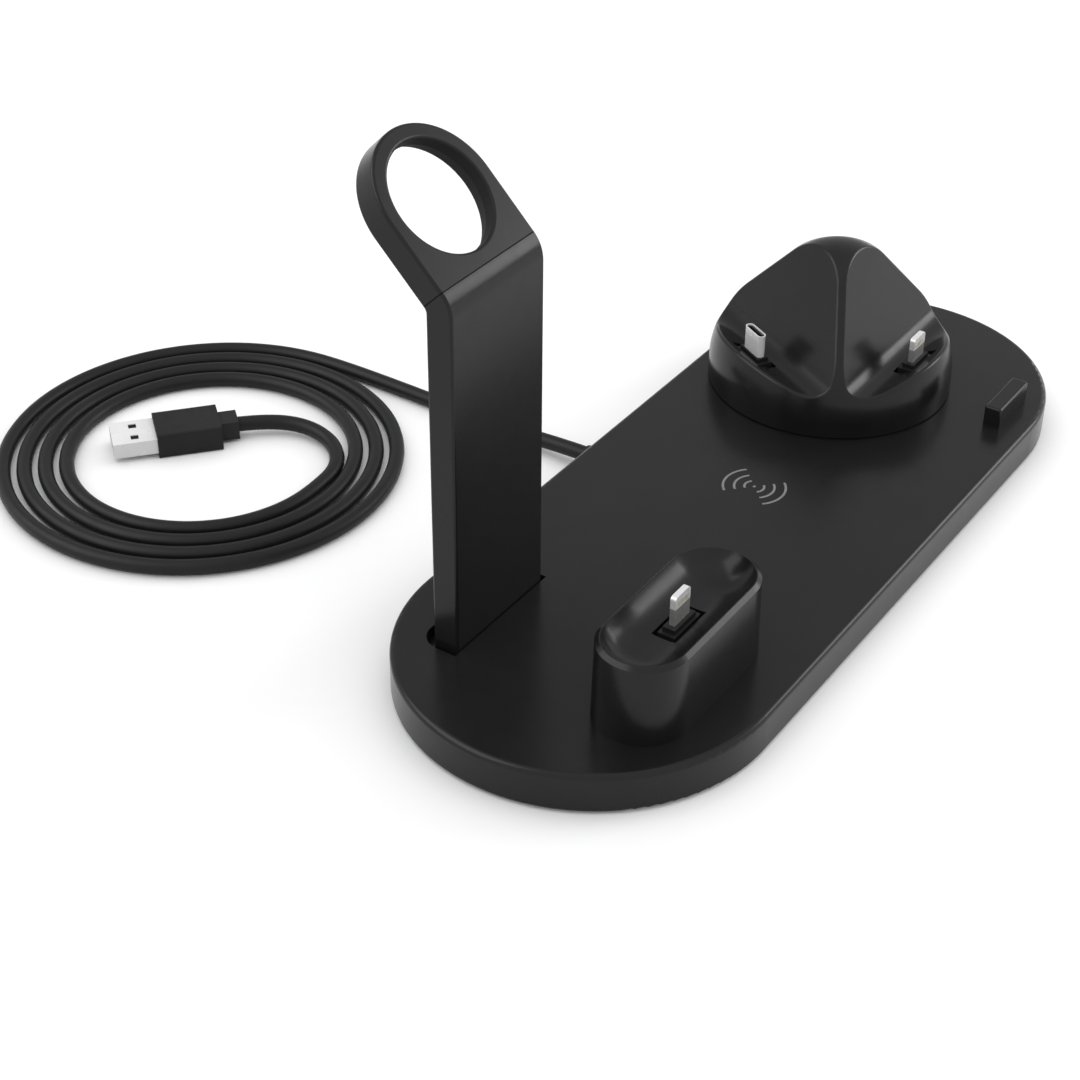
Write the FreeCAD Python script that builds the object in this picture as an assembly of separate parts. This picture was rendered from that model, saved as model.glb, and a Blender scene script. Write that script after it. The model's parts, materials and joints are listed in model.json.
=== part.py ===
import FreeCAD, Part
import math
import os

os.makedirs("parts", exist_ok=True)

V = FreeCAD.Vector
UP = V(0, 0, 1)

# Frame: origin under the middle of the base, X along the base to the dome, Y to the cord, Z up. Millimetres.

# Base housing
base_length = 250.0
base_width = 97.0
base_top = 11.4
base_foot = 0.8
base_wall = 2.2
base_skin = 2.2
top_edge_round = 1.5
foot_edge_round = 0.6
lid_clear = 0.15
lid_thickness = 1.6
mat_inset = 6.0
mat_recess = 0.4
mat_clear = 0.2

# Housing screws and bosses
screw_shank_r = 1.2
screw_head_r = 2.2
screw_head_h = 1.2
screw_fit = 0.05
head_fit = 0.2
boss_r = 3.4
cup_r = 4.0
cup_h = 2.0
boss_end_inset = 13.0
boss_side_inset = 9.0

# Wireless charging coil under the mark
mark_x = 6.1
mark_y = 1.0
coil_outer_r = 21.0
coil_inner_r = 10.0
coil_h = 1.2
ferrite_r = 24.0
ferrite_h = 0.6

# Main board
board_x0 = -32.0
board_x1 = 44.0
board_half_y = 28.0
board_h = 1.6
board_lift = 1.0
board_post_r = 2.4
board_screw_r = 1.0
board_head_r = 1.8
board_head_h = 0.9
board_screw_inset = 4.0
chip_size = 7.0
chip_h = 0.9
driver_size = 5.0
driver_x = 12.0
driver_y = 4.0
choke_size = 7.0
choke_h = 3.0
choke_x = -26.5
capacitor_length = 6.0
capacitor_width = 4.0
capacitor_h = 2.4
capacitor_x = 31.0
pair_y = 13.0

# Stop bar on the top
stop_from_end = 46.0
stop_from_side = 9.75
stop_length = 19.0
stop_width = 4.9
stop_height = 6.0
stop_round = 0.7

# Watch stand
post_from_end = 45.5
post_from_side = 24.2
post_width = 36.0
post_thickness = 7.1
bend_z = 105.2
bend_lean = 45.0
seam_up = 3.8
ring_centre_up = 21.6
ring_wall = 4.0
ring_flare_out = 1.5
ring_flare = 3.9
post_edge_round = 0.7
slot_clear = 0.3
slot_depth = 7.2
recess_side = 1.6
recess_back = 4.0
recess_round = 5.8
recess_depth = 3.0
socket_wall = 1.5
dowel_r = 1.0
dowel_length = 9.0
dowel_inset = 5.0

# Earbud dock
dock_from_end = 48.5
dock_from_side = 24.5
dock_half = 15.3
dock_rim_r = 11.5
dock_foot_r = 12.0
dock_rim_z = 33.2
dock_lip = 1.3
dock_dish = 5.4
dish_flat = 1.0
dock_rim_bevel = 1.0
dock_wall = 2.2
dock_roof = 2.4
dock_boss_r = 3.0
dock_boss_out = 19.0

# Phone dome
dome_from_end = 56.3
dome_from_side = 36.9
dome_gap = 0.4
dome_r = 34.8
dome_shoulder_z = 16.5
dome_slope = 46.9
dome_slope_r = 27.9
dome_slope_z = 33.5
dome_apex_z = 54.3
dome_wall = 2.2
face_lean = 25.0
face_foot = 20.5
ledge_z = 24.4
ledge_rise = 28.0
cove_r = 6.0
face_edge_round = 0.9
face_directions = (-90.0, 150.0, 30.0)
ridge_directions = (210.0, 90.0, -30.0)
dome_boss_r = 3.2
dome_boss_out = 27.0
dome_floor_h = 2.0
dome_floor_clear = 0.2

# Turntable under the dome
hub_r = 13.0
hub_bore_r = 9.0
hub_clear = 0.3
retainer_r = 17.0
retainer_bore_r = 7.0
retainer_h = 1.8
retainer_play = 0.3
retainer_screw_out = 11.0
washer_in = 14.5
washer_out = 24.0
pin_holder_h = 1.9
pin_r = 0.7
pin_pitch = 2.2
slip_disc_r = 8.5
dome_board_r = 20.0
dome_board_bore = 6.0
dome_board_lift = 1.2
standoff_r = 2.4
standoff_out = 16.5

# Plug boots
plug_out = 26.0
pocket_length = 14.2
pocket_width = 6.4
boot_low_length = 11.7
boot_low_width = 4.7
boot_low_h = 8.0
dock_boot_rise = 0.2
dome_boot_z = 24.8
boot_up_length = 9.4
boot_up_width = 3.4
boot_up_h = 1.2
pivot_drop = 6.0
trunnion_r = 1.2
trunnion_reach = 2.1
trunnion_fit = 0.05
ear_gap = 0.5
ear_length = 2.3
ear_width = 5.2
ear_below = 2.3
ear_sink = 0.8

# Plugs
plug_root = 3.0
eight_pin_width = 6.65
eight_pin_thick = 1.5
phone_plug_h = 7.2
earbud_plug_h = 8.0
eight_pin_tip_r = 1.0
window_width = 5.2
window_h = 2.0
window_drop = 1.3
contact_count = 8
contact_width = 0.42
contact_step = 0.62
contact_h = 1.6
contact_thick = 0.2
type_c_width = 8.34
type_c_thick = 2.56
type_c_h = 6.6
type_c_wall = 0.3
type_c_slot_width = 6.7
type_c_slot_thick = 0.9
type_c_inset = 0.4
micro_width = 6.85
micro_thick = 1.8
micro_chamfer = 0.8
micro_h = 5.6
micro_wall = 0.25
micro_insert_thick = 0.6
micro_inset = 0.5
micro_floor_h = 0.8

# Cord
cord_r = 2.15
cord_exit_x = 2.6
cord_exit_z = 4.6
coil_x = -54.35
coil_from_base = 93.8
coil_start_r = 58.25
coil_pitch = 5.8
coil_turn_deg = 1355.0
grommet_r = 3.0
grommet_flange_r = 3.6
grommet_flange_h = 1.2
grommet_nose = 2.4
clamp_length = 13.0
clamp_depth = 5.0
clamp_cap = 1.6

# Type A plug on the cord
plug_tip_deg = 139.5
plug_face_dx = -3.19
plug_face_dy = 16.16
plug_body_width = 13.4
plug_body_length = 18.2
plug_body_h = 7.6
plug_body_round = 0.8
relief_length = 5.2
relief_width = 6.8
relief_h = 5.6
shell_width = 12.0
shell_h = 4.5
shell_wall = 0.3
shell_out = 12.3
shell_in = 4.0
shell_hole = 2.2
shell_hole_up = 6.0
shell_hole_side = 3.0
tongue_width = 11.3
tongue_h = 1.9
tongue_out = 9.4


def box(x0, x1, y0, y1, z0, z1):
    return Part.makeBox(x1 - x0, y1 - y0, z1 - z0, V(x0, y0, z0))


def block(x, y, length, width, z0, z1):
    return box(x - length / 2, x + length / 2, y - width / 2, y + width / 2, z0, z1)


def rod(x, y, r, z0, z1):
    return Part.makeCylinder(r, z1 - z0, V(x, y, z0), UP)


def tube(x, y, r_out, r_in, z0, z1):
    return rod(x, y, r_out, z0, z1).cut(rod(x, y, r_in, z0, z1))


def stadium_wire(half, r, x, y, z):
    a = V(x - half, y - r, z)
    b = V(x + half, y - r, z)
    c = V(x + half, y + r, z)
    d = V(x - half, y + r, z)
    right = Part.Arc(b, V(x + half + r, y, z), c).toShape()
    left = Part.Arc(d, V(x - half - r, y, z), a).toShape()
    return Part.Wire([Part.makeLine(a, b), right, Part.makeLine(c, d), left])


def stadium(half, r, x, y, z0, z1):
    return Part.Face(stadium_wire(half, r, x, y, z0)).extrude(V(0, 0, z1 - z0))


def level_edges(shape, z):
    return [e for e in shape.Edges if abs(e.BoundBox.ZMin - z) < 1e-4 and abs(e.BoundBox.ZMax - z) < 1e-4]


def polar(x, y, r, deg):
    return x + r * math.cos(math.radians(deg)), y + r * math.sin(math.radians(deg))


def fused(first, others):
    return first.multiFuse(others).removeSplitter()


def save(shape, node):
    shape.exportStep("parts/" + node + ".step")


# Levels that several pieces share
base_half = (base_length - base_width) / 2
base_r = base_width / 2
inner_r = base_r - base_wall
roof_z = base_top - base_skin
stop_x = base_length / 2 - stop_from_end
stop_y = -(base_r - stop_from_side)
post_x = -(base_length / 2 - post_from_end)
post_front = base_r - post_from_side
dock_x = -(base_length / 2 - dock_from_end)
dock_y = -(base_r - dock_from_side)
dome_x = base_length / 2 - dome_from_end
dome_y = base_r - dome_from_side
coil_y = base_r + coil_from_base
plug_face_x = coil_x + plug_face_dx
plug_face_y = coil_y + plug_face_dy
lid_top = base_foot + lid_thickness
mat_top = base_foot + mat_recess
cup_top = lid_top + cup_h
boss_end_x = base_length / 2 - boss_end_inset
boss_side_x = base_half / 2
boss_side_y = base_r - boss_side_inset
boss_places = [(-boss_end_x, 0.0), (boss_end_x, 0.0)]
boss_places += [(sx * boss_side_x, sy * boss_side_y) for sx in (-1, 1) for sy in (-1, 1)]
board_z = lid_top + board_lift
board_top = board_z + board_h
board_mid_x = (board_x0 + board_x1) / 2
board_hole_x = (board_x1 - board_x0) / 2 - board_screw_inset
board_hole_y = board_half_y - board_screw_inset
board_places = [(board_mid_x + sx * board_hole_x, sy * board_hole_y) for sx in (-1, 1) for sy in (-1, 1)]
dome_z = base_top + dome_gap
dome_floor_top = dome_z + dome_floor_h
hub_end = roof_z - retainer_play
retainer_z = hub_end - retainer_h
dock_floor_z = dock_rim_z - dock_dish
dock_roof_z = dock_floor_z - dock_roof
dock_places = [(dock_x - dock_boss_out, dock_y), (dock_x + dock_boss_out, dock_y)]
dome_places = [polar(dome_x, dome_y, dome_boss_out, a) for a in ridge_directions]
retainer_places = [polar(dome_x, dome_y, retainer_screw_out, a) for a in ridge_directions]
standoff_places = [polar(dome_x, dome_y, standoff_out, a) for a in ridge_directions]
slot_floor = base_top - slot_depth
post_back = post_front + post_thickness
post_left = post_x - post_width / 2
post_right = post_x + post_width / 2
dowel_spread = post_width / 2 - dowel_inset
ring_r = post_width / 2
ring_hole_r = ring_r - ring_wall
ring_back_r = ring_hole_r + ring_flare_out


# Base top cover: open shell with the stop bar, bosses, recessed watch slot and the turntable hole
cover = stadium(base_half, base_r, 0, 0, base_foot, base_top)
cover = cover.makeFillet(top_edge_round, level_edges(cover, base_top))
cover = cover.makeFillet(foot_edge_round, level_edges(cover, base_foot))
cover = cover.cut(stadium(base_half, inner_r, 0, 0, base_foot, roof_z))
bosses = [rod(x, y, boss_r, cup_top, roof_z) for x, y in boss_places]
stop_bar = block(stop_x, stop_y, stop_length, stop_width, base_top, base_top + stop_height)
crests = [e for e in stop_bar.Edges if e.BoundBox.ZMax - base_top > 1e-3]
stop_bar = stop_bar.makeFillet(stop_round, crests)
socket = box(
    post_left - recess_side - socket_wall,
    post_right + recess_side + socket_wall,
    post_front - slot_clear - socket_wall,
    post_back + recess_back + socket_wall,
    slot_floor - 1.0,
    roof_z,
)
cover = fused(cover, bosses + [stop_bar, socket])
slot = box(
    post_left - slot_clear,
    post_right + slot_clear,
    post_front - slot_clear,
    post_back + slot_clear,
    slot_floor,
    base_top,
)
recess = box(
    post_left - recess_side,
    post_right + recess_side,
    post_front - slot_clear,
    post_back + recess_back,
    base_top - recess_depth,
    base_top,
)
corners = [e for e in recess.Edges if e.BoundBox.ZLength > 1 and e.BoundBox.YMin > post_back]
recess = recess.makeFillet(recess_round, corners)
cuts = [slot, recess, rod(dome_x, dome_y, hub_r + hub_clear, roof_z, base_top)]
cuts += [rod(x, y, screw_shank_r + screw_fit, cup_top, roof_z) for x, y in boss_places]
cuts += [rod(x, y, screw_shank_r + screw_fit, roof_z, base_top) for x, y in dock_places]
cuts += [block(dock_x, dock_y, pocket_length, pocket_width, roof_z, base_top)]
grommet_start = V(cord_exit_x, base_r - base_wall * 1.5, cord_exit_z)
grommet_hole = Part.makeCylinder(grommet_r, base_wall * 2, grommet_start, V(0, 1, 0))
cover = cover.cut(cuts + [grommet_hole])
save(cover, "base_top_cover")

# Base bottom cover: plate inside the wall, with screw cups, board posts and a recess for the mat
lid = stadium(base_half, inner_r - lid_clear, 0, 0, base_foot, lid_top)
cups = [rod(x, y, cup_r, lid_top, cup_top) for x, y in boss_places]
posts = [rod(x, y, board_post_r, lid_top, board_z) for x, y in board_places]
lid = fused(lid, cups + posts)
cuts = [stadium(base_half, base_r - mat_inset, 0, 0, base_foot, mat_top)]
cuts += [rod(x, y, screw_head_r + head_fit, mat_top, cup_top - screw_head_h) for x, y in boss_places]
cuts += [rod(x, y, screw_shank_r + screw_fit, mat_top, cup_top) for x, y in boss_places]
cuts += [rod(x, y, board_screw_r + screw_fit, mat_top + mat_recess, board_z) for x, y in board_places]
lid = lid.cut(cuts)
save(lid, "base_bottom_cover")

mat = stadium(base_half, base_r - mat_inset - mat_clear, 0, 0, 0, mat_top)
save(mat, "anti_slip_mat")

seat_z = cup_top - screw_head_h
screws = []
for x, y in boss_places:
    head = rod(x, y, screw_head_r, seat_z - screw_head_h, seat_z)
    screws.append(head.fuse(rod(x, y, screw_shank_r, seat_z, roof_z - 0.4)))
save(Part.makeCompound(screws), "housing_screws")

# Wireless coil and ferrite, stuck to the underside of the top
save(tube(mark_x, mark_y, coil_outer_r, coil_inner_r, roof_z - coil_h, roof_z), "charging_coil")
save(rod(mark_x, mark_y, ferrite_r, roof_z - coil_h - ferrite_h, roof_z - coil_h), "ferrite_sheet")

# Main board with its larger components
board = box(board_x0, board_x1, -board_half_y, board_half_y, board_z, board_top)
board = board.cut([rod(x, y, board_screw_r + screw_fit, board_z, board_top) for x, y in board_places])
save(board, "main_board")
components = [block(mark_x, mark_y, chip_size, chip_size, board_top, board_top + chip_h)]
driver_place = (mark_x + driver_x, mark_y + driver_y)
components.append(block(*driver_place, driver_size, driver_size, board_top, board_top + chip_h))
for side in (-1, 1):
    y = mark_y + side * pair_y
    components.append(block(mark_x + choke_x, y, choke_size, choke_size, board_top, board_top + choke_h))
    x = mark_x + capacitor_x
    components.append(block(x, y, capacitor_length, capacitor_width, board_top, board_top + capacitor_h))
save(Part.makeCompound(components), "board_components")
screws = []
for x, y in board_places:
    head = rod(x, y, board_head_r, board_top, board_top + board_head_h)
    screws.append(head.fuse(rod(x, y, board_screw_r, mat_top + mat_recess + 0.2, board_top)))
save(Part.makeCompound(screws), "board_screws")


# Watch post: upright strip with a round bend, ending at the seam
lean = math.radians(bend_lean)
along = V(0, math.sin(lean), math.cos(lean))
across = V(0, math.cos(lean), -math.sin(lean))
half_way = V(0, math.cos(lean / 2), -math.sin(lean / 2))
bend_r = seam_up / math.tan(lean / 2)
bend_corner = V(0, post_front, bend_z)
bend_centre = V(0, post_front + bend_r, bend_z - seam_up)


def bend_points(r):
    return bend_centre - V(0, r, 0), bend_centre - half_way * r, bend_centre - across * r


front_start, front_mid, seam_front = bend_points(bend_r)
back_start, back_mid, seam_back = bend_points(bend_r - post_thickness)
foot_front = V(0, post_front, slot_floor)
foot_back = V(0, post_back, slot_floor)
outline = Part.Wire([
    Part.makeLine(foot_front, front_start),
    Part.Arc(front_start, front_mid, seam_front).toShape(),
    Part.makeLine(seam_front, seam_back),
    Part.Arc(seam_back, back_mid, back_start).toShape(),
    Part.makeLine(back_start, foot_back),
    Part.makeLine(foot_back, foot_front),
])
post = Part.Face(outline).extrude(V(post_width, 0, 0))
post.translate(V(post_x - post_width / 2, 0, 0))
upright = [e for e in post.Edges if e.BoundBox.XLength < 1e-4 and e.BoundBox.ZLength > post_width]
post = post.makeFillet(post_edge_round, upright)
dowels = []
for side in (-1, 1):
    start = bend_corner + across * (post_thickness / 2) + V(post_x + side * dowel_spread, 0, 0)
    dowels.append(Part.makeCylinder(dowel_r, dowel_length, start, along))
save(post.cut(dowels), "watch_post")
save(Part.makeCompound(dowels), "head_dowels")

# Watch head: flat ring plate above the seam, its hole flared at the back, drawn flat and then leaned
side_length = ring_centre_up - seam_up
plate = block(0, seam_up + side_length / 2, post_width, side_length, 0, post_thickness)
above_seam = box(-ring_r, ring_r, seam_up, ring_centre_up + ring_r, 0, post_thickness)
disc = rod(0, ring_centre_up, ring_r, 0, post_thickness).common(above_seam)
plate = plate.fuse(disc).removeSplitter()
flare = Part.makeCone(ring_back_r, ring_hole_r, ring_flare, V(0, ring_centre_up, 0), UP)
plate = plate.cut([rod(0, ring_centre_up, ring_hole_r, 0, post_thickness), flare])
rims = []
for e in level_edges(plate, 0) + level_edges(plate, post_thickness):
    if e.BoundBox.YMax - seam_up > 1e-3:
        rims.append(e)
plate = plate.makeFillet(post_edge_round, rims)
plate.rotate(V(0, 0, 0), V(1, 0, 0), 90.0 - bend_lean)
plate.translate(bend_corner + across * post_thickness + V(post_x, 0, 0))
save(plate.cut(dowels), "watch_head")


# Plug boots. Each is drawn with its plug along Z, its length along X, then turned to its face.
def boot_solid(plug_slot):
    low = block(0, 0, boot_low_length, boot_low_width, -boot_low_h, 0)
    high = block(0, 0, boot_up_length, boot_up_width, 0, boot_up_h)
    reach = boot_low_length / 2 + trunnion_reach
    pin = Part.makeCylinder(trunnion_r, 2 * reach, V(-reach, 0, -pivot_drop), V(1, 0, 0))
    return fused(low, [high, pin]).cut(plug_slot)


def ears(top):
    start = boot_low_length / 2 + ear_gap
    out = []
    for side in (-1, 1):
        x = side * (start + ear_length / 2)
        ear = block(x, 0, ear_length, ear_width, -pivot_drop - ear_below, top)
        out.append(ear)
    return out


def ear_bore():
    reach = boot_low_length / 2 + ear_gap + ear_length + 1.0
    return Part.makeCylinder(trunnion_r + trunnion_fit, 2 * reach, V(-reach, 0, -pivot_drop), V(1, 0, 0))


def eight_pin(height):
    root = boot_up_h - plug_root
    tab = block(0, 0, eight_pin_width, eight_pin_thick, root, boot_up_h + height)
    tips = [e for e in tab.Edges if e.BoundBox.ZLength < 1e-4 and e.BoundBox.XLength < 1e-4]
    tips = [e for e in tips if e.BoundBox.ZMax > boot_up_h]
    tab = tab.makeFillet(eight_pin_tip_r, tips)
    low = boot_up_h + height - window_drop - window_h
    window = block(0, 0, window_width, eight_pin_thick, low, low + window_h)
    insert = window.copy()
    contacts = []
    for k in range(contact_count):
        x = (k - (contact_count - 1) / 2) * contact_step
        for side in (-1, 1):
            y = side * (eight_pin_thick - contact_thick) / 2
            z = low + (window_h - contact_h) / 2
            contacts.append(block(x, y, contact_width, contact_thick, z, z + contact_h))
    slot = block(0, 0, eight_pin_width, eight_pin_thick, root, boot_up_h)
    pieces = {"tab": tab.cut(window), "insert": insert.cut(contacts), "contacts": Part.makeCompound(contacts)}
    return pieces, slot


def type_c():
    root = boot_up_h - plug_root
    top = boot_up_h + type_c_h
    half = (type_c_width - type_c_thick) / 2
    outer = stadium(half, type_c_thick / 2, 0, 0, root, top)
    bore = stadium(half, type_c_thick / 2 - type_c_wall, 0, 0, root, top)
    liner = stadium(half, type_c_thick / 2 - type_c_wall, 0, 0, root, top - type_c_inset)
    slot_r = type_c_slot_thick / 2
    mouth = stadium(type_c_slot_width / 2 - slot_r, slot_r, 0, 0, boot_up_h + 0.6, top)
    slot = stadium(half, type_c_thick / 2, 0, 0, root, boot_up_h)
    return {"shell": outer.cut(bore), "liner": liner.cut(mouth)}, slot


def micro_profile(inset, z):
    x = micro_width / 2 - inset
    y = micro_thick / 2 - inset
    c = micro_chamfer
    points = [V(-x + c, -y, z), V(x - c, -y, z), V(x, -y + c, z), V(x, y, z), V(-x, y, z), V(-x, -y + c, z)]
    return Part.Face(Part.makePolygon(points + points[:1]))


def micro_b():
    root = boot_up_h - plug_root
    top = boot_up_h + micro_h
    outer = micro_profile(0, root).extrude(V(0, 0, top - root))
    bore = micro_profile(micro_wall, root).extrude(V(0, 0, top - root))
    plug_floor = micro_profile(micro_wall, root).extrude(V(0, 0, boot_up_h + micro_floor_h - root))
    y = micro_thick / 2 - micro_wall - micro_insert_thick / 2
    blade = block(0, y, micro_width, micro_insert_thick, root, top - micro_inset).common(bore)
    slot = micro_profile(0, root).extrude(V(0, 0, boot_up_h - root))
    return {"shell": outer.cut(bore), "insert": plug_floor.fuse(blade).removeSplitter()}, slot


def placed(shape, x, y, z, turn):
    out = shape.copy()
    out.rotate(V(0, 0, 0), UP, turn)
    out.translate(V(x, y, z))
    return out


# Earbud dock: drafted tower with a scooped top, hollow below, and ears for the boot
def scoop():
    width = dock_rim_r - dock_lip
    r = ((width - dish_flat) ** 2 + dock_dish ** 2) / (2 * dock_dish)
    half_turn = math.asin((width - dish_flat) / r) / 2
    mid = V(dish_flat + r * math.sin(half_turn), 0, r - r * math.cos(half_turn))
    edges = [
        Part.makeLine(V(0, 0, 0), V(dish_flat, 0, 0)),
        Part.Arc(V(dish_flat, 0, 0), mid, V(width, 0, dock_dish)).toShape(),
        Part.makeLine(V(width, 0, dock_dish), V(0, 0, dock_dish)),
        Part.makeLine(V(0, 0, dock_dish), V(0, 0, 0)),
    ]
    section = Part.Face(Part.Wire(edges))
    bowl = section.revolve(V(0, 0, 0), UP, 360)
    run = section.extrude(V(0, 2 * dock_half, 0))
    sides = [placed(run, dock_half, 0, 0, 90), placed(run, -dock_half, 0, 0, -90)]
    return fused(placed(bowl, -dock_half, 0, 0, 0), [placed(bowl, dock_half, 0, 0, 0)] + sides)


foot_wire = stadium_wire(dock_half, dock_foot_r, dock_x, dock_y, base_top)
rim_wire = stadium_wire(dock_half, dock_rim_r, dock_x, dock_y, dock_rim_z)
tower = Part.makeLoft([foot_wire, rim_wire], True, True)
tower = tower.makeChamfer(dock_rim_bevel, level_edges(tower, dock_rim_z))
dish = placed(scoop(), dock_x, dock_y, dock_floor_z, 0)
hollow = stadium(dock_half, dock_rim_r - dock_wall, dock_x, dock_y, base_top, dock_roof_z)
pocket = block(dock_x, dock_y, pocket_length, pocket_width, dock_roof_z, dock_rim_z)
dock_boot_z = dock_floor_z + dock_boot_rise
tower = tower.cut([dish, hollow, pocket])
stays = [rod(x, y, dock_boss_r, base_top, dock_roof_z) for x, y in dock_places]
stays += [placed(e, dock_x, dock_y, dock_boot_z, 0) for e in ears(dock_roof_z + ear_sink - dock_boot_z)]
tower = fused(tower, stays)
cuts = [placed(ear_bore(), dock_x, dock_y, dock_boot_z, 0)]
cuts += [rod(x, y, screw_shank_r + screw_fit, base_top, base_top + 8.0) for x, y in dock_places]
tower = tower.cut(cuts)
save(tower, "earbud_dock")
pieces, plug_slot = eight_pin(earbud_plug_h)
save(placed(boot_solid(plug_slot), dock_x, dock_y, dock_boot_z, 0), "earbud_boot")
save(placed(pieces["tab"], dock_x, dock_y, dock_boot_z, 0), "earbud_plug")
save(placed(pieces["insert"], dock_x, dock_y, dock_boot_z, 0), "earbud_plug_insert")
save(placed(pieces["contacts"], dock_x, dock_y, dock_boot_z, 0), "earbud_plug_contacts")
screws = []
for x, y in dock_places:
    head = rod(x, y, screw_head_r, roof_z - screw_head_h, roof_z)
    screws.append(head.fuse(rod(x, y, screw_shank_r, roof_z, base_top + 7.0)))
save(Part.makeCompound(screws), "dock_screws")


# Phone dome: turned crown cut by three reclined faces, each coved into a ledge
slope = math.radians(dome_slope)
slope_out = V(math.sin(slope), 0, math.cos(slope))


def heading(deg):
    return V(math.cos(math.radians(deg)), 0, math.sin(math.radians(deg)))


half_corner = (90.0 + face_lean - ledge_rise) / 2
cove_in = heading(ledge_rise + half_corner)
face_foot_z = ledge_z + (face_foot - plug_out) * math.tan(math.radians(ledge_rise))
cove_reach = cove_r / math.sin(math.radians(half_corner))
cove_centre = V(face_foot, 0, face_foot_z) + cove_in * cove_reach


def crown(inset, z0):
    wall = dome_r - inset
    slope_gap = slope_out.x * (dome_slope_r - dome_r) + slope_out.z * (dome_slope_z - dome_shoulder_z)
    shoulder_r = slope_gap / (1 - slope_out.x) - inset
    cap_gap = slope_out.x * dome_slope_r + slope_out.z * (dome_slope_z - dome_apex_z)
    cap_r = cap_gap / (1 - slope_out.z) - inset
    shoulder = V(wall - shoulder_r, 0, dome_shoulder_z)
    cap = V(0, 0, dome_apex_z - inset - cap_r)
    mid_a = slope_out + V(1, 0, 0)
    mid_b = slope_out + UP
    a = V(wall, 0, z0)
    b = V(wall, 0, dome_shoulder_z)
    c = shoulder + slope_out * shoulder_r
    d = cap + slope_out * cap_r
    e = V(0, 0, dome_apex_z - inset)
    edges = [
        Part.makeLine(V(0, 0, z0), a),
        Part.makeLine(a, b),
        Part.Arc(b, shoulder + mid_a * (shoulder_r / mid_a.Length), c).toShape(),
        Part.makeLine(c, d),
        Part.Arc(d, cap + mid_b * (cap_r / mid_b.Length), e).toShape(),
        Part.makeLine(e, V(0, 0, z0)),
    ]
    solid = Part.Face(Part.Wire(edges)).revolve(V(0, 0, 0), UP, 360)
    solid.translate(V(dome_x, dome_y, 0))
    return solid


def face_cutter(inset, deg):
    r = cove_r + inset
    on_face = cove_centre - heading(face_lean) * r
    on_ledge = cove_centre - heading(ledge_rise + 90) * r
    top = on_face + heading(90 + face_lean) * dome_apex_z
    rim = on_ledge + heading(ledge_rise) * (2 * dome_r)
    edges = [
        Part.makeLine(top, on_face),
        Part.Arc(on_face, cove_centre - cove_in * r, on_ledge).toShape(),
        Part.makeLine(on_ledge, rim),
        Part.makeLine(rim, V(rim.x, 0, top.z)),
        Part.makeLine(V(rim.x, 0, top.z), top),
    ]
    solid = Part.Face(Part.Wire(edges)).extrude(V(0, 4 * dome_r, 0))
    solid.translate(V(0, -2 * dome_r, 0))
    return placed(solid, dome_x, dome_y, 0, deg)


crown_solid = crown(0, dome_z)
cutters = [face_cutter(0, a) for a in face_directions]
dome = crown_solid.cut(cutters)
crown_skin = crown_solid.Shells[0]
outlines = []
for e in dome.Edges:
    mid = Part.Vertex(e.valueAt((e.FirstParameter + e.LastParameter) / 2))
    on_cut = min(c.distToShape(mid)[0] for c in cutters) < 1e-4
    if on_cut and crown_skin.distToShape(mid)[0] < 1e-4:
        outlines.append(e)
dome = dome.makeFillet(face_edge_round, outlines)
dome_whole = dome.copy()
cavity = crown(dome_wall, dome_z).cut([face_cutter(dome_wall, a) for a in face_directions])
dome = dome.cut(cavity)
stays = [rod(x, y, dome_boss_r, dome_floor_top, dome_slope_z).common(dome_whole) for x, y in dome_places]
ear_top = cove_centre.z - cove_r - dome_wall + ear_sink - dome_boot_z
pockets = []
bores = [rod(x, y, screw_shank_r + screw_fit, dome_floor_top, dome_floor_top + 8.0) for x, y in dome_places]
for a in face_directions:
    x, y = polar(dome_x, dome_y, plug_out, a)
    pocket = block(0, 0, pocket_length, pocket_width, -boot_low_h / 2, boot_low_h / 2)
    pockets.append(placed(pocket, x, y, dome_boot_z, a + 90))
    stays += [placed(e, x, y, dome_boot_z, a + 90) for e in ears(ear_top)]
    bores.append(placed(ear_bore(), x, y, dome_boot_z, a + 90))
dome = fused(dome.cut(pockets), stays).cut(bores)
save(dome, "dome_shell")

# Dome floor with the hub, and the pieces that hold and feed it
floor = rod(dome_x, dome_y, dome_r - dome_wall - dome_floor_clear, dome_z, dome_floor_top)
floor = floor.fuse(rod(dome_x, dome_y, hub_r, hub_end, dome_z))
board_level = dome_floor_top + dome_board_lift
standoffs = [rod(x, y, standoff_r, dome_floor_top, board_level) for x, y in standoff_places]
floor = fused(floor, standoffs)
cuts = [rod(dome_x, dome_y, hub_bore_r, hub_end, dome_floor_top)]
cuts += [rod(x, y, screw_shank_r + screw_fit, dome_z, dome_floor_top) for x, y in dome_places]
cuts += [rod(x, y, screw_head_r + head_fit, dome_z, dome_z + screw_head_h) for x, y in dome_places]
cuts += [rod(x, y, board_screw_r + screw_fit, hub_end, dome_z) for x, y in retainer_places]
cuts += [rod(x, y, board_screw_r + screw_fit, dome_z + 0.4, board_level) for x, y in standoff_places]
floor = floor.cut(cuts)
save(floor, "dome_floor")
screws = []
for x, y in dome_places:
    head = rod(x, y, screw_head_r, dome_z, dome_z + screw_head_h)
    screws.append(head.fuse(rod(x, y, screw_shank_r, dome_z + screw_head_h, dome_floor_top + 7.0)))
save(Part.makeCompound(screws), "dome_screws")
save(tube(dome_x, dome_y, washer_out, washer_in, base_top, dome_z), "glide_washer")
retainer = tube(dome_x, dome_y, retainer_r, retainer_bore_r, retainer_z, hub_end)
holes = [rod(x, y, board_screw_r + screw_fit, retainer_z, hub_end) for x, y in retainer_places]
retainer = retainer.cut(holes)
save(retainer, "dome_retainer")
screws = []
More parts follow.
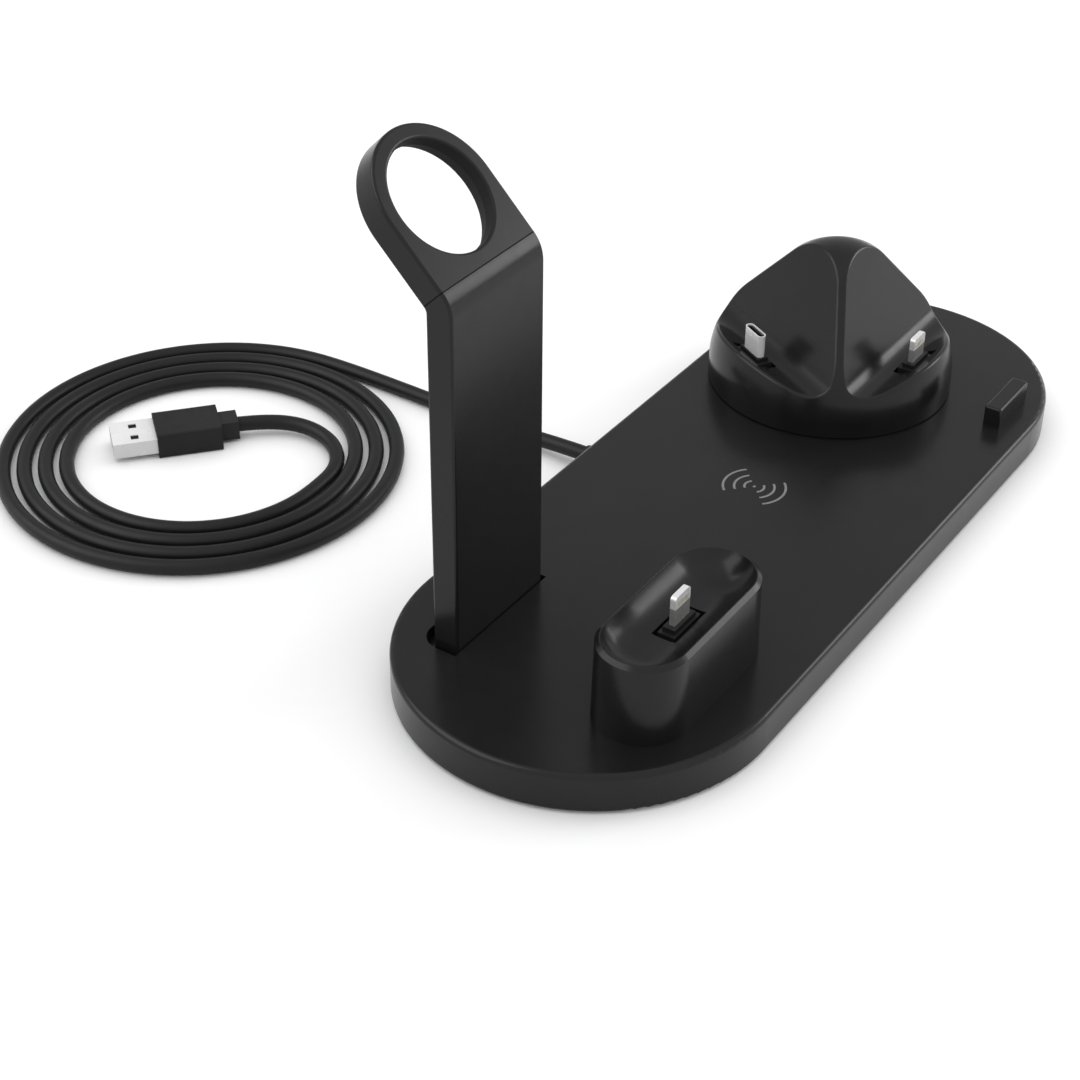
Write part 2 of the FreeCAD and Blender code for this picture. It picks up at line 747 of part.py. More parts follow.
for x, y in retainer_places:
    head = rod(x, y, board_head_r, retainer_z - board_head_h, retainer_z)
    screws.append(head.fuse(rod(x, y, board_screw_r, retainer_z, dome_z - 0.4)))
save(Part.makeCompound(screws), "retainer_screws")
disc_top = lid_top + board_h
save(rod(dome_x, dome_y, slip_disc_r, lid_top, disc_top), "slip_contact_disc")
pin_places = [(dome_x + k * pin_pitch, dome_y) for k in (-1, 0, 1)]
holder = rod(dome_x, dome_y, hub_bore_r - screw_fit, hub_end, hub_end + pin_holder_h)
holder = holder.cut([rod(x, y, pin_r, hub_end, hub_end + pin_holder_h) for x, y in pin_places])
save(holder, "contact_pin_holder")
pins = [rod(x, y, pin_r, disc_top, hub_end + pin_holder_h + 0.8) for x, y in pin_places]
save(Part.makeCompound(pins), "contact_pins")
dome_board = tube(dome_x, dome_y, dome_board_r, dome_board_bore, board_level, board_level + board_h)
holes = [rod(x, y, board_screw_r + screw_fit, board_level, board_level + board_h) for x, y in standoff_places]
dome_board = dome_board.cut(holes)
save(dome_board, "dome_board")
screws = []
for x, y in standoff_places:
    head = rod(x, y, board_head_r, board_level + board_h, board_level + board_h + board_head_h)
    screws.append(head.fuse(rod(x, y, board_screw_r, dome_z + 0.6, board_level + board_h)))
save(Part.makeCompound(screws), "dome_board_screws")

# The three dome plugs in their boots
plugs = {"phone_plug": eight_pin(phone_plug_h), "type_c": type_c(), "micro_b": micro_b()}
for (name, made), a in zip(plugs.items(), face_directions):
    pieces, plug_slot = made
    x, y = polar(dome_x, dome_y, plug_out, a)
    save(placed(boot_solid(plug_slot), x, y, dome_boot_z, a + 90), name + "_boot")
    for part_name, solid in pieces.items():
        save(placed(solid, x, y, dome_boot_z, a + 90), name + "_" + part_name)


# Cord: round tube along straight runs joined by tangent arcs
def cord_tube(points):
    edges = []
    start = points[0]
    for i in range(1, len(points) - 1):
        before = points[i - 1] - points[i]
        after = points[i + 1] - points[i]
        turn = math.pi - before.getAngle(after)
        reach = 0.45 * min(before.Length, after.Length)
        radius = reach / math.tan(turn / 2)
        print("cord bend radius", round(radius, 1))
        one = points[i] + before * (reach / before.Length)
        two = points[i] + after * (reach / after.Length)
        inward = before * (1 / before.Length) + after * (1 / after.Length)
        inward.normalize()
        centre = points[i] + inward * math.hypot(reach, radius)
        edges.append(Part.makeLine(start, one))
        edges.append(Part.Arc(one, centre - inward * radius, two).toShape())
        start = two
    edges.append(Part.makeLine(start, points[-1]))
    path = Part.Wire(edges)
    heading = points[1] - points[0]
    section = Part.Wire(Part.makeCircle(cord_r, points[0], heading))
    solid = path.makePipeShell([section], True, False)
    ratio = solid.Volume / (math.pi * cord_r ** 2 * path.Length)
    print("cord length", round(path.Length, 1), "volume ratio", round(ratio, 4))
    return solid


def coil_point(deg, offset):
    r = coil_start_r - coil_pitch * deg / 360 + offset
    return V(*polar(coil_x, coil_y, r, deg), 0)


def coil_curve(first, last, offset):
    steps = 36
    curve = Part.BSplineCurve()
    curve.interpolate([coil_point(first + (last - first) * k / steps, offset) for k in range(steps + 1)])
    return curve.toShape()


coil_start = coil_point(0, 0) + V(0, 0, cord_r)
lead_points = [
    V(cord_exit_x, base_r - 10.0, cord_exit_z),
    V(cord_exit_x, base_r + 8.0, cord_exit_z),
    V(cord_exit_x + 0.7, base_r + 34.0, cord_r),
    V(cord_exit_x + 1.8, base_r + 63.0, cord_r),
    coil_start,
]
save(cord_tube(lead_points), "cord_lead")

# The flat spiral as one solid of its outer shape, with a step where each end leaves it
outer_edge = coil_curve(0, 360, cord_r)
inner_edge = coil_curve(coil_turn_deg, coil_turn_deg - 360, -cord_r)
outer_step = Part.makeLine(coil_point(360, cord_r), coil_point(0, cord_r))
inner_step = Part.makeLine(coil_point(coil_turn_deg - 360, -cord_r), coil_point(coil_turn_deg, -cord_r))
spiral = Part.Face([Part.Wire([outer_edge, outer_step]), Part.Wire([inner_edge, inner_step])])
spiral.validate()
save(spiral.extrude(V(0, 0, 2 * cord_r)), "cord_coil")

# Type A plug: shell, tongue, overmould and collar, drawn along X and turned to its heading
plug_mid = plug_body_h / 2
body = block(-plug_body_length / 2, 0, plug_body_length, plug_body_width, 0, plug_body_h)
body = body.makeFillet(plug_body_round, [e for e in body.Edges if e.BoundBox.XLength > 1])
shell_low = plug_mid - shell_h / 2
shell_high = plug_mid + shell_h / 2
outer = box(-shell_in, shell_out, -shell_width / 2, shell_width / 2, shell_low, shell_high)
bore = box(
    -shell_in,
    shell_out,
    -shell_width / 2 + shell_wall,
    shell_width / 2 - shell_wall,
    shell_low + shell_wall,
    shell_high - shell_wall,
)
holes = []
for side in (-1, 1):
    y = side * shell_hole_side
    holes.append(block(shell_hole_up, y, shell_hole, shell_hole, shell_high - shell_wall, shell_high))
steel = outer.cut([bore] + holes)
tongue = box(
    -shell_in,
    tongue_out,
    -tongue_width / 2,
    tongue_width / 2,
    shell_high - shell_wall - tongue_h - 0.3,
    shell_high - shell_wall - 0.3,
)
tongue = tongue.fuse(bore.common(body)).removeSplitter()
relief_x = -plug_body_length - relief_length / 2
relief = block(relief_x, 0, relief_length, relief_width, plug_mid - relief_h / 2, plug_mid + relief_h / 2)
for solid, node in (
    (body.cut(outer), "usb_a_overmould"),
    (steel, "usb_a_shell"),
    (tongue, "usb_a_tongue"),
    (relief, "usb_a_collar"),
):
    save(placed(solid, plug_face_x, plug_face_y, 0, plug_tip_deg), node)

collar = placed(relief, plug_face_x, plug_face_y, 0, plug_tip_deg)
relief_end = V(*polar(plug_face_x, plug_face_y, -plug_body_length - relief_length, plug_tip_deg), plug_mid)
tail_points = [
    coil_point(coil_turn_deg, 0) + V(0, 0, cord_r),
    V(coil_x + 15.13, coil_y - 35.05, cord_r),
    V(coil_x + 23.93, coil_y - 26.87, cord_r + 0.2),
    V(coil_x + 26.32, coil_y - 15.75, cord_r + 0.8),
    relief_end + V(*polar(0, 0, -9.54, plug_tip_deg), -0.3),
    relief_end,
]
save(cord_tube(tail_points).cut(collar), "cord_tail")

# Grommet in the side wall and clamp on the bottom cover
wall_in = base_r - base_wall
sleeve = Part.makeCylinder(grommet_r - screw_fit, base_wall, V(cord_exit_x, wall_in, cord_exit_z), V(0, 1, 0))
flange_start = V(cord_exit_x, base_r, cord_exit_z)
flange = Part.makeCylinder(grommet_flange_r, grommet_flange_h, flange_start, V(0, 1, 0))
nose_start = V(cord_exit_x, base_r + grommet_flange_h, cord_exit_z)
nose = Part.makeCone(grommet_r, cord_r + 0.4, grommet_nose, nose_start, V(0, 1, 0))
passage = Part.makeCylinder(cord_r, 30, V(cord_exit_x, base_r - 15, cord_exit_z), V(0, 1, 0))
grommet = fused(sleeve, [flange, nose]).cut(passage)
save(grommet, "cord_grommet")
clamp_y = wall_in - clamp_depth / 2 - 1.0
clamp = block(cord_exit_x, clamp_y, clamp_length, clamp_depth, lid_top, cord_exit_z + cord_r + clamp_cap)
save(clamp.cut(passage), "cord_clamp")
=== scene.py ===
import json
import math

import bmesh
import bpy
from mathutils import Matrix, Vector


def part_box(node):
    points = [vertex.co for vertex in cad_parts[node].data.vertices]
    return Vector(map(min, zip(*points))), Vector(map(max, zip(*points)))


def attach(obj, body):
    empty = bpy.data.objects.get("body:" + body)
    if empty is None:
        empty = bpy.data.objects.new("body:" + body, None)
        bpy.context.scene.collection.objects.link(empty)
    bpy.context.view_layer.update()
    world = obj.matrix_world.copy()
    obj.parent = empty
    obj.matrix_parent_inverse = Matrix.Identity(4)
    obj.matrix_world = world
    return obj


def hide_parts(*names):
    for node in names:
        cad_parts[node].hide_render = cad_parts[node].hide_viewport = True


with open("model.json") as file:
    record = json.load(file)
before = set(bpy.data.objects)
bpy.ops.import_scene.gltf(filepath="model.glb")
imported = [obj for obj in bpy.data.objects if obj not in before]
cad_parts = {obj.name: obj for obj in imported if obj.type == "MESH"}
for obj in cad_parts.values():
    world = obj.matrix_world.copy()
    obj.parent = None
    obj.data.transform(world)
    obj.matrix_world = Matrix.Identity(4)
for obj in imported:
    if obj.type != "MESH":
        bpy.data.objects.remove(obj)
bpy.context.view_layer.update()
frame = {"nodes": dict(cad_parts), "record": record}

nodes = frame["nodes"]
record = frame["record"]
scene = bpy.context.scene
scene.view_settings.view_transform = "Standard"
MM = 0.001


def link(obj):
    scene.collection.objects.link(obj)
    return obj


# Camera at the photograph's view, for a square image
CAMERA_AT = (-0.42361, -0.21596, 0.32967)
CAMERA_RIGHT = (0.558015, -0.829803, 0.007219)
CAMERA_UP = (0.474700, 0.326331, 0.817418)
CAMERA_BACK = (-0.680650, -0.452700, 0.576000)
lens = bpy.data.cameras.new("camera")
lens.sensor_width = 36.0
lens.lens = 71.461
lens.clip_start = 0.01
lens.clip_end = 20.0
camera = link(bpy.data.objects.new("camera", lens))
camera_turn = Matrix((CAMERA_RIGHT, CAMERA_UP, CAMERA_BACK)).transposed().to_4x4()
camera.matrix_world = Matrix.Translation(CAMERA_AT) @ camera_turn
scene.camera = camera


# Cord: lead, flat spiral and tail on one spline, in millimetres
CORD_R = 2.15
COIL_X, COIL_Y = -54.35, 142.3
COIL_START_R, COIL_PITCH = 58.25, 5.8
COIL_DEG, COIL_STEPS = 1355.0, 90
LEAD = [(2.6, 38.5, 4.6), (2.6, 56.5, 4.6), (3.3, 82.5, CORD_R), (4.4, 111.5, CORD_R)]
TAIL_BEND = [(-39.22, 107.25, CORD_R), (-30.42, 115.43, 2.35), (-28.03, 126.55, 2.95)]
TAIL_END = [(-32.50, 137.06, 3.5), (-39.75, 143.26, 3.8)]


def coil_point(deg):
    """Control point of the spiral, set out so that the curve runs at the wanted radius."""
    half_step = math.radians(COIL_DEG / COIL_STEPS / 2)
    r = (COIL_START_R - COIL_PITCH * deg / 360) / math.cos(half_step)
    a = math.radians(deg)
    return COIL_X + r * math.cos(a), COIL_Y + r * math.sin(a), CORD_R


coil = [coil_point(COIL_DEG * k / COIL_STEPS) for k in range(COIL_STEPS + 1)]
route = LEAD + coil + TAIL_BEND + TAIL_END
line = bpy.data.curves.new("cord", "CURVE")
line.dimensions = "3D"
spline = line.splines.new("NURBS")
spline.points.add(len(route) - 1)
for point, place in zip(spline.points, route):
    point.co = (place[0] * MM, place[1] * MM, place[2] * MM, 1.0)
    point.radius = CORD_R * MM
spline.order_u = 3
spline.use_endpoint_u = True
line.resolution_u = 8
line.bevel_depth = 1.0
line.bevel_resolution = 5
line.use_fill_caps = True
cord = link(bpy.data.objects.new("cord", line))
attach(cord, "base")
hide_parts("cord_lead", "cord_coil", "cord_tail")


# Node trees of materials and world
class Tree:
    """A node tree with short calls to add and join its nodes."""

    def __init__(self, tree):
        self.tree = tree

    def add(self, kind, **values):
        node = self.tree.nodes.new(kind)
        for key, value in values.items():
            setattr(node, key, value)
        return node

    def wire(self, source, target):
        self.tree.links.new(source, target)

    def feed(self, node, values):
        """Set each input, in order, to a value or to another node's output."""
        for socket, value in zip(node.inputs, values):
            if isinstance(value, bpy.types.NodeSocket):
                self.wire(value, socket)
            else:
                socket.default_value = value
        return node.outputs

    def number(self, operation, *values):
        return self.feed(self.add("ShaderNodeMath", operation=operation), values)["Value"]

    def vector(self, operation, *values):
        return self.feed(self.add("ShaderNodeVectorMath", operation=operation), values)

    def mix(self, factor, first, second):
        return self.feed(self.add("ShaderNodeMixShader"), (factor, first, second))["Shader"]

    def graded(self, value, low, high, at_low, at_high):
        """Turn the range from low to high into the range from at_low to at_high."""
        node = self.add("ShaderNodeMapRange")
        node.inputs["From Min"].default_value = low
        node.inputs["From Max"].default_value = high
        node.inputs["To Min"].default_value = at_low
        node.inputs["To Max"].default_value = at_high
        self.wire(value, node.inputs["Value"])
        return node.outputs["Result"]


NOISE_LOW, NOISE_HIGH = 0.3, 0.7


class Finish(Tree):
    """A material with a Principled shader and the textures that feed it."""

    def __init__(self, name, rough, metallic=0.0, specular=0.5):
        self.material = bpy.data.materials.new(name)
        self.material.use_nodes = True
        super().__init__(self.material.node_tree)
        self.shader = self.tree.nodes["Principled BSDF"]
        self.shader.inputs["Roughness"].default_value = rough
        self.shader.inputs["Metallic"].default_value = metallic
        self.shader.inputs["Specular IOR Level"].default_value = specular
        self.place = self.add("ShaderNodeTexCoord").outputs["Object"]

    def noise(self, size, detail):
        node = self.add("ShaderNodeTexNoise")
        node.inputs["Scale"].default_value = 1.0 / size
        node.inputs["Detail"].default_value = detail
        self.wire(self.place, node.inputs["Vector"])
        return node.outputs["Fac"]

    def colours(self, value, first, second, start=NOISE_LOW, end=NOISE_HIGH):
        ramp = self.add("ShaderNodeValToRGB")
        for element, at, colour in zip(ramp.color_ramp.elements, (start, end), (first, second)):
            element.position = at
            element.color = (*colour, 1.0)
        self.wire(value, ramp.inputs["Fac"])
        self.wire(ramp.outputs["Color"], self.shader.inputs["Base Color"])

    def roughness(self, value, low, high):
        spread = self.graded(value, NOISE_LOW, NOISE_HIGH, low, high)
        self.wire(spread, self.shader.inputs["Roughness"])

    def bump(self, value, depth, strength):
        node = self.add("ShaderNodeBump")
        node.inputs["Strength"].default_value = strength
        node.inputs["Distance"].default_value = depth
        self.wire(value, node.inputs["Height"])
        self.wire(node.outputs["Normal"], self.shader.inputs["Normal"])


# Plastics, with lengths in metres
MICRON = 0.000001
PLASTIC_TONE_PATCH, PLASTIC_GLOSS_PATCH = 0.012, 0.004


def grey(v):
    return (v, v, v * 1.02)


def moulded(name, tone, rough, grain, depth, specular=0.5):
    m = Finish(name, sum(rough) / 2, specular=specular)
    m.colours(m.noise(PLASTIC_TONE_PATCH, 3.0), grey(tone[0]), grey(tone[1]))
    m.roughness(m.noise(PLASTIC_GLOSS_PATCH, 3.0), *rough)
    m.bump(m.noise(grain, 2.0), depth, 0.6)
    return m


SATIN = dict(tone=(0.0095, 0.0112), rough=(0.21, 0.25), grain=0.0003, depth=0.4 * MICRON, specular=0.24)
satin_black = moulded("satin_black", **SATIN)
dull_black = moulded("dull_black", (0.010, 0.013), (0.45, 0.55), 0.0004, 4 * MICRON, 0.22)
soft_black = moulded("soft_black", (0.010, 0.013), (0.42, 0.52), 0.0003, 4 * MICRON, 0.25)
cord_black = moulded("cord_black", (0.008, 0.010), (0.40, 0.48), 0.0005, 4 * MICRON, 0.23)
component_black = moulded("component_black", (0.015, 0.022), (0.45, 0.6), 0.0002, 10 * MICRON)
insulator_black = moulded("insulator_black", (0.012, 0.018), (0.4, 0.5), 0.0003, 10 * MICRON)
insulator_white = moulded("insulator_white", (0.72, 0.80), (0.4, 0.5), 0.0003, 10 * MICRON)
washer_white = moulded("washer_white", (0.70, 0.78), (0.45, 0.55), 0.0004, 10 * MICRON)
ferrite = moulded("ferrite", (0.035, 0.06), (0.6, 0.75), 0.0006, 20 * MICRON)
seam_shadow = moulded("seam_shadow", (0.003, 0.004), (0.7, 0.8), 0.0004, 10 * MICRON, 0.05)


# Satin black of the watch head, duller on the walls of the ring's hole
HOLE_REACH, HOLE_ADDED_ROUGH, HOLE_WALL_FACING = 0.0165, 0.55, 0.6
hole = [mount for mount in record["mounts"] if mount["name"] == "watch_puck_ring"][0]
ring_black = moulded("ring_black", **SATIN)
ring_normal = ring_black.add("ShaderNodeNewGeometry").outputs["Normal"]
facing = ring_black.vector("DOT_PRODUCT", ring_normal, hole["axis"])["Value"]
wall = ring_black.number("LESS_THAN", ring_black.number("ABSOLUTE", facing), HOLE_WALL_FACING)
from_hole = ring_black.vector("SUBTRACT", ring_black.place, hole["pos_m"])["Vector"]
sideways = ring_black.vector("CROSS_PRODUCT", from_hole, hole["axis"])["Vector"]
away = ring_black.vector("LENGTH", sideways)["Value"]
inside = ring_black.number("MULTIPLY", wall, ring_black.number("LESS_THAN", away, HOLE_REACH))
ring_rough = ring_black.shader.inputs["Roughness"]
outside_rough = ring_rough.links[0].from_socket
ring_black.wire(ring_black.number("MULTIPLY_ADD", inside, HOLE_ADDED_ROUGH, outside_rough), ring_rough)


# Metals, with lengths in metres
METAL_TONE_PATCH, METAL_GLOSS_PATCH = 0.006, 0.004
SHANK_COLOUR, TIP_COLOUR = (0.38, 0.375, 0.37), (0.80, 0.80, 0.79)
SHANK_METALLIC, TIP_METALLIC = 0.5, 0.3
EARBUD_SPLIT_Z, PHONE_SPLIT_Z = 0.0338, 0.0298


def metal(name, dark, light, rough, metallic=1.0):
    m = Finish(name, sum(rough) / 2, metallic=metallic)
    m.colours(m.noise(METAL_TONE_PATCH, 1.0), dark, light)
    m.roughness(m.noise(METAL_GLOSS_PATCH, 1.0), *rough)
    return m


def plug_metal(name, split):
    """Lighter, less metallic tip above the split height, darker and more metallic shank below it."""
    m = Finish(name, 0.3)
    axes = m.add("ShaderNodeSeparateXYZ")
    m.wire(m.place, axes.inputs["Vector"])
    tip = m.number("GREATER_THAN", axes.outputs["Z"], split)
    m.colours(tip, SHANK_COLOUR, TIP_COLOUR, 0.0, 1.0)
    m.wire(m.graded(tip, 0.0, 1.0, SHANK_METALLIC, TIP_METALLIC), m.shader.inputs["Metallic"])
    m.roughness(m.noise(METAL_GLOSS_PATCH, 1.0), 0.24, 0.34)
    return m


screw_steel = metal("screw_steel", (0.36, 0.36, 0.37), (0.46, 0.46, 0.47), (0.28, 0.4))
bright_steel = metal("bright_steel", (0.78, 0.78, 0.78), (0.82, 0.82, 0.82), (0.24, 0.29), 0.15)
plug_alloy = metal("plug_alloy", (0.52, 0.51, 0.50), (0.60, 0.59, 0.58), (0.22, 0.32), 0.5)
earbud_alloy = plug_metal("earbud_alloy", EARBUD_SPLIT_Z)
phone_alloy = plug_metal("phone_alloy", PHONE_SPLIT_Z)
gold = metal("gold", (0.60, 0.52, 0.34), (0.68, 0.60, 0.42), (0.25, 0.35), 0.5)


# Wound copper of the charging coil
COIL_SHIFT = (-0.0061, -0.0010, 0.0)
WINDINGS_SCALE = 300.0
copper = Finish("copper", 0.3, metallic=1.0)
centred = copper.add("ShaderNodeMapping")
centred.inputs["Location"].default_value = COIL_SHIFT
copper.wire(copper.place, centred.inputs["Vector"])
windings = copper.add("ShaderNodeTexWave", wave_type="RINGS", rings_direction="Z")
windings.inputs["Scale"].default_value = WINDINGS_SCALE
copper.wire(centred.outputs["Vector"], windings.inputs["Vector"])
copper.colours(windings.outputs["Fac"], (0.25, 0.09, 0.04), (0.72, 0.33, 0.17), 0.0, 0.6)
copper.roughness(copper.noise(0.002, 2.0), 0.25, 0.4)
copper.bump(windings.outputs["Fac"], 300 * MICRON, 0.8)


# Circuit board with a pattern of tracks
board = Finish("board", 0.4)
tracks = board.add("ShaderNodeTexBrick")
tracks.inputs["Scale"].default_value = 220.0
tracks.inputs["Mortar Size"].default_value = 0.06
tracks.inputs["Color1"].default_value = (0.006, 0.045, 0.020, 1)
tracks.inputs["Color2"].default_value = (0.005, 0.038, 0.018, 1)
tracks.inputs["Mortar"].default_value = (0.015, 0.085, 0.035, 1)
board.wire(board.place, tracks.inputs["Vector"])
board.wire(tracks.outputs["Color"], board.shader.inputs["Base Color"])
board.roughness(board.noise(0.004, 3.0), 0.32, 0.45)
board.bump(tracks.outputs["Fac"], 30 * MICRON, 0.4)


def dress(obj, finish):
    obj.data.materials.clear()
    obj.data.materials.append(finish.material)


# Every solid takes the finish of its material slot in the record, apart from a few named below
finishes = {
    "satin_black": satin_black,
    "dull_black": dull_black,
    "soft_black": soft_black,
    "cord_black": cord_black,
    "screw_steel": screw_steel,
    "bright_steel": bright_steel,
    "plug_alloy": plug_alloy,
    "gold": gold,
    "copper": copper,
    "ferrite": ferrite,
    "board": board,
    "component_black": component_black,
    "insulator_white": insulator_white,
    "insulator_black": insulator_black,
    "washer_white": washer_white,
}
for row in record["subparts"]:
    dress(nodes[row["node"]], finishes[row["material_slot"]])
dress(cord, cord_black)
dress(nodes["earbud_plug"], earbud_alloy)
dress(nodes["phone_plug_tab"], phone_alloy)
dress(nodes["usb_a_tongue"], insulator_black)
dress(nodes["watch_head"], ring_black)


def piece(name, shape, body, finish):
    """Turn a built shape into a piece of the scene that rides on a body."""
    bmesh.ops.recalc_face_normals(shape, faces=shape.faces)
    mesh = bpy.data.meshes.new(name)
    shape.to_mesh(mesh)
    shape.free()
    obj = link(bpy.data.objects.new(name, mesh))
    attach(obj, body)
    dress(obj, finish)


# Printed mark on the top: a dot and three arcs on each side of it, in millimetres
MARK_X, MARK_Y, MARK_Z = 5.6, 0.8, 11.4
MARK_RADII, MARK_SIDES = (2.65, 5.4, 8.4), (90.0, -90.0)
MARK_LINE, MARK_HALF_DEG, MARK_INK, DOT_R = 0.64, 46.5, 0.02, 0.42
ARC_STEPS, DOT_STEPS = 40, 32


def mark_place(r, a, z):
    return (MARK_X + r * math.cos(a)) * MM, (MARK_Y + r * math.sin(a)) * MM, (MARK_Z + z) * MM


def arc_plate(shape, r, middle_deg):
    inner, outer = r - MARK_LINE / 2, r + MARK_LINE / 2
    turns = [math.radians(2 * MARK_HALF_DEG * k / ARC_STEPS - MARK_HALF_DEG) for k in range(ARC_STEPS + 1)]
    middle = math.radians(middle_deg)
    outline = [(outer, middle + a) for a in turns] + [(inner, middle - a) for a in turns]
    low = [shape.verts.new(mark_place(q, a, 0.0)) for q, a in outline]
    high = [shape.verts.new(mark_place(q, a, MARK_INK)) for q, a in outline]
    count = len(outline)
    for k in range(count):
        j = (k + 1) % count
        shape.faces.new((low[k], low[j], high[j], high[k]))
    for k in range(ARC_STEPS):
        j = count - 1 - k
        shape.faces.new((high[k], high[k + 1], high[j - 1], high[j]))
        shape.faces.new((low[k], low[j], low[j - 1], low[k + 1]))


def dot_plate(shape, r):
    angles = [2 * math.pi * k / DOT_STEPS for k in range(DOT_STEPS)]
    low = [shape.verts.new(mark_place(r, a, 0.0)) for a in angles]
    high = [shape.verts.new(mark_place(r, a, MARK_INK)) for a in angles]
    for k in range(DOT_STEPS):
        j = (k + 1) % DOT_STEPS
        shape.faces.new((low[k], low[j], high[j], high[k]))
    shape.faces.new(high)
    shape.faces.new(low[::-1])


ink = Finish("mark_ink", 0.5)
ink.colours(ink.noise(0.0012, 3.0), (0.17, 0.17, 0.17), (0.21, 0.21, 0.21))
ink.roughness(ink.noise(0.002, 2.0), 0.45, 0.55)
ink.bump(ink.noise(0.0002, 2.0), 4 * MICRON, 0.5)
mark_shape = bmesh.new()
for arc_r in MARK_RADII:
    for side_deg in MARK_SIDES:
        arc_plate(mark_shape, arc_r, side_deg)
dot_plate(mark_shape, DOT_R)
piece("wireless_mark", mark_shape, "base", ink)


# Seam of the watch stand: a fine dark line round the joint of its two pieces, in millimetres
POST_THICK, EDGE_ROUND, BEND_Z, SEAM_UP = 7.1, 0.7, 105.2, 3.8
SEAM_LINE, SEAM_PROUD, SEAM_SUNK = 0.26, 0.015, 0.1
CORNER_STEPS = 6
lean = math.radians(45.0)
along = Vector((0.0, math.sin(lean), math.cos(lean)))
across = Vector((0.0, math.cos(lean), -math.sin(lean)))
post_low, post_high = [Vector(corner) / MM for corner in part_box("watch_post")]
seam_middle = Vector(((post_low.x + post_high.x) / 2, post_low.y, BEND_Z))
seam_middle += along * SEAM_UP + across * (POST_THICK / 2)


def seam_ring(grow, rise):
    """Rounded outline of the stand's section, grown outward and moved along the head."""
    half_width = (post_high.x - post_low.x) / 2 - EDGE_ROUND
    half_depth = POST_THICK / 2 - EDGE_ROUND
    ring = []
    for quarter, (x_side, y_side) in enumerate(((1, 1), (-1, 1), (-1, -1), (1, -1))):
        for k in range(CORNER_STEPS + 1):
            a = math.radians(90 * (quarter + k / CORNER_STEPS))
            x = x_side * half_width + (EDGE_ROUND + grow) * math.cos(a)
            y = y_side * half_depth + (EDGE_ROUND + grow) * math.sin(a)
            ring.append((seam_middle + Vector((x, 0, 0)) + across * y + along * rise) * MM)
    return ring


half_line = SEAM_LINE / 2
section = [(SEAM_PROUD, -half_line), (SEAM_PROUD, half_line)]
section += [(-SEAM_SUNK, half_line), (-SEAM_SUNK, -half_line)]
seam_shape = bmesh.new()
rings = [[seam_shape.verts.new(p) for p in seam_ring(grow, rise)] for grow, rise in section]
for ring, following in zip(rings, rings[1:] + rings[:1]):
    for k in range(len(ring)):
        j = (k + 1) % len(ring)
        seam_shape.faces.new((ring[k], ring[j], following[j], following[k]))
piece("watch_stand_seam", seam_shape, "watch_stand", seam_shadow)


# Floor: white to the camera and in reflections, dimmer in the light that it throws back
FLOOR_HALF, FLOOR_Z = 6.0, -0.00005
FLOOR_THROWN_BACK = (0.44, 0.44, 0.44, 1.0)
floor_mesh = bpy.data.meshes.new("floor")
floor_corners = [(x * FLOOR_HALF, y * FLOOR_HALF, FLOOR_Z) for x, y in ((-1, -1), (1, -1), (1, 1), (-1, 1))]
floor_mesh.from_pydata(floor_corners, [], [(0, 1, 2, 3)])
floor = link(bpy.data.objects.new("floor", floor_mesh))
paper = Finish("floor_paper", 0.9, specular=0.0)
paper.colours(paper.noise(0.05, 2.0), (0.965, 0.965, 0.965), (0.975, 0.975, 0.975), 0.0, 1.0)
dim = paper.add("ShaderNodeBsdfDiffuse")
dim.inputs["Color"].default_value = FLOOR_THROWN_BACK
thrown_back = paper.add("ShaderNodeLightPath").outputs["Is Diffuse Ray"]
paper_mix = paper.mix(thrown_back, paper.shader.outputs["BSDF"], dim.outputs["BSDF"])
paper.wire(paper_mix, paper.tree.nodes["Material Output"].inputs["Surface"])
dress(floor, paper)


# Lamps, placed by their direction from the object, with the brightness that their faces show
LAMP_AIM = Vector((0.0, 0.02, 0.03))
POWER_PER_BRIGHTNESS = 4.0


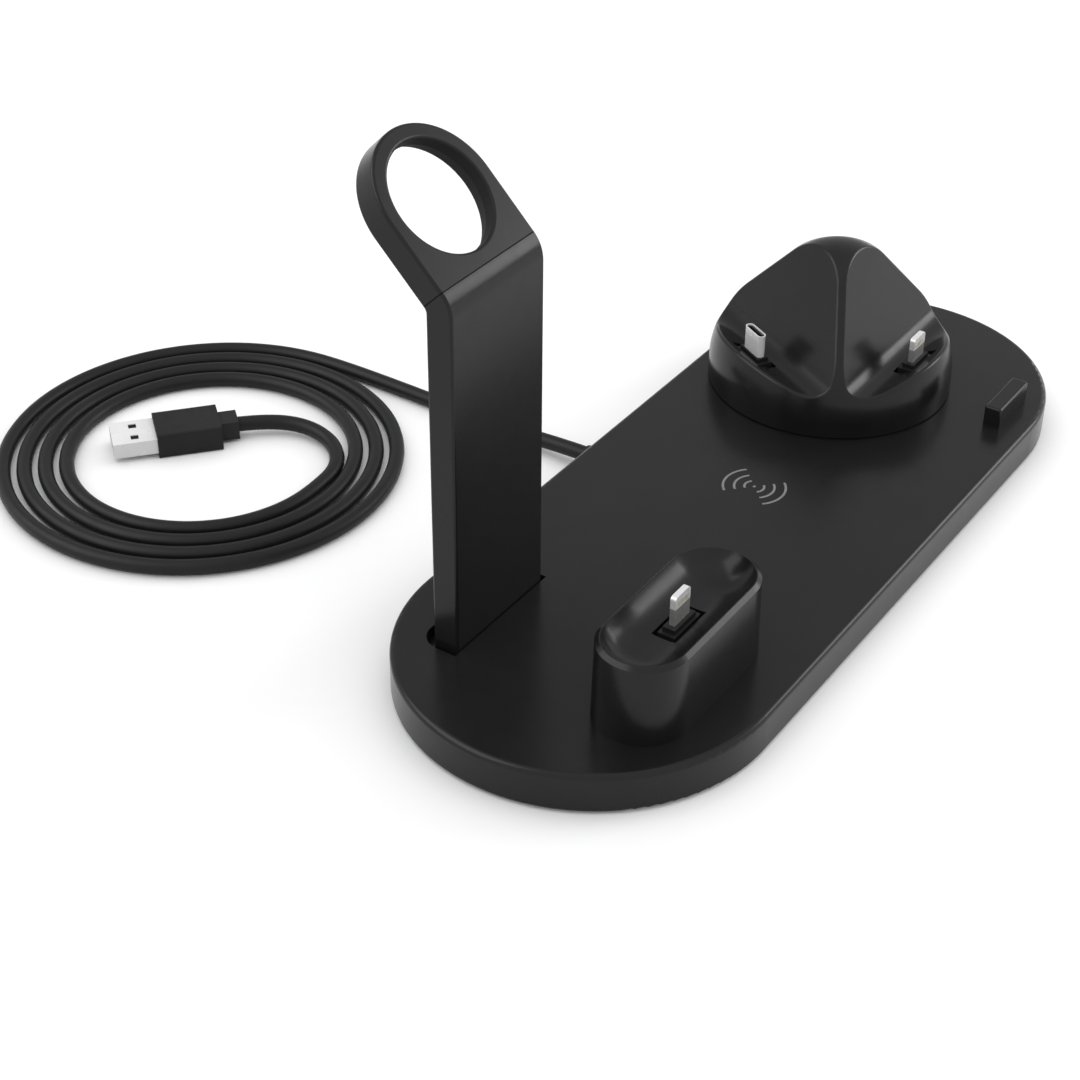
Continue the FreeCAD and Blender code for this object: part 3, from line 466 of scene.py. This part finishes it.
def lamp(name, azimuth, elevation, distance, width, height, brightness):
    data = bpy.data.lights.new(name, "AREA")
    data.shape = "RECTANGLE"
    data.size = width
    data.size_y = height
    data.energy = brightness * POWER_PER_BRIGHTNESS * width * height
    a, e = math.radians(azimuth), math.radians(elevation)
    outward = Vector((math.cos(e) * math.cos(a), math.cos(e) * math.sin(a), math.sin(e)))
    obj = link(bpy.data.objects.new(name, data))
    obj.location = LAMP_AIM + outward * distance
    obj.rotation_euler = (-outward).to_track_quat("-Z", "Y").to_euler()
    return obj


lamp("light_right", -36, 19.5, distance=2.4, width=0.84, height=0.99, brightness=3.6)
halo = lamp("light_right_halo", -36, 22, distance=2.43, width=2.25, height=1.395, brightness=0.2)
left = lamp("light_left", 130, 42, distance=1.6, width=1.7, height=1.2, brightness=1.6)

# These two show in reflections and light no matt surface
halo.visible_diffuse = False
left.visible_diffuse = False


# World: white to the camera, with its own light for matt surfaces and for reflections
FILL_LOW, FILL_HIGH = 0.46, 1.42
DARK_TOWARD = (0.720, 0.604, 0.342)
DARK_FROM, DARK_FULL, DARK_LEVEL = 0.30, 0.88, 0.60
world = bpy.data.worlds.new("studio")
scene.world = world
world.use_nodes = True
studio = Tree(world.node_tree)
studio.tree.nodes.clear()


def world_light():
    node = studio.add("ShaderNodeBackground")
    node.inputs["Color"].default_value = (1, 1, 1, 1)
    return node


ray = studio.add("ShaderNodeLightPath").outputs
toward = studio.add("ShaderNodeTexCoord").outputs["Generated"]
seen = world_light()

# Light that falls on the surfaces comes mostly from overhead
fill = world_light()
sky_axes = studio.add("ShaderNodeSeparateXYZ")
studio.wire(toward, sky_axes.inputs["Vector"])
studio.wire(studio.graded(sky_axes.outputs["Z"], 0.0, 1.0, FILL_LOW, FILL_HIGH), fill.inputs["Strength"])

# What the surfaces mirror is white, with a darker patch beyond the dome
mirrored = world_light()
nearness = studio.vector("DOT_PRODUCT", toward, DARK_TOWARD)["Value"]
studio.wire(studio.graded(nearness, DARK_FROM, DARK_FULL, 1.0, DARK_LEVEL), mirrored.inputs["Strength"])
shows_world = studio.number("MAXIMUM", ray["Is Glossy Ray"], ray["Is Transmission Ray"])
around = studio.mix(shows_world, fill.outputs["Background"], mirrored.outputs["Background"])
whole = studio.mix(ray["Is Camera Ray"], around, seen.outputs["Background"])
studio.wire(whole, studio.add("ShaderNodeOutputWorld").inputs["Surface"])
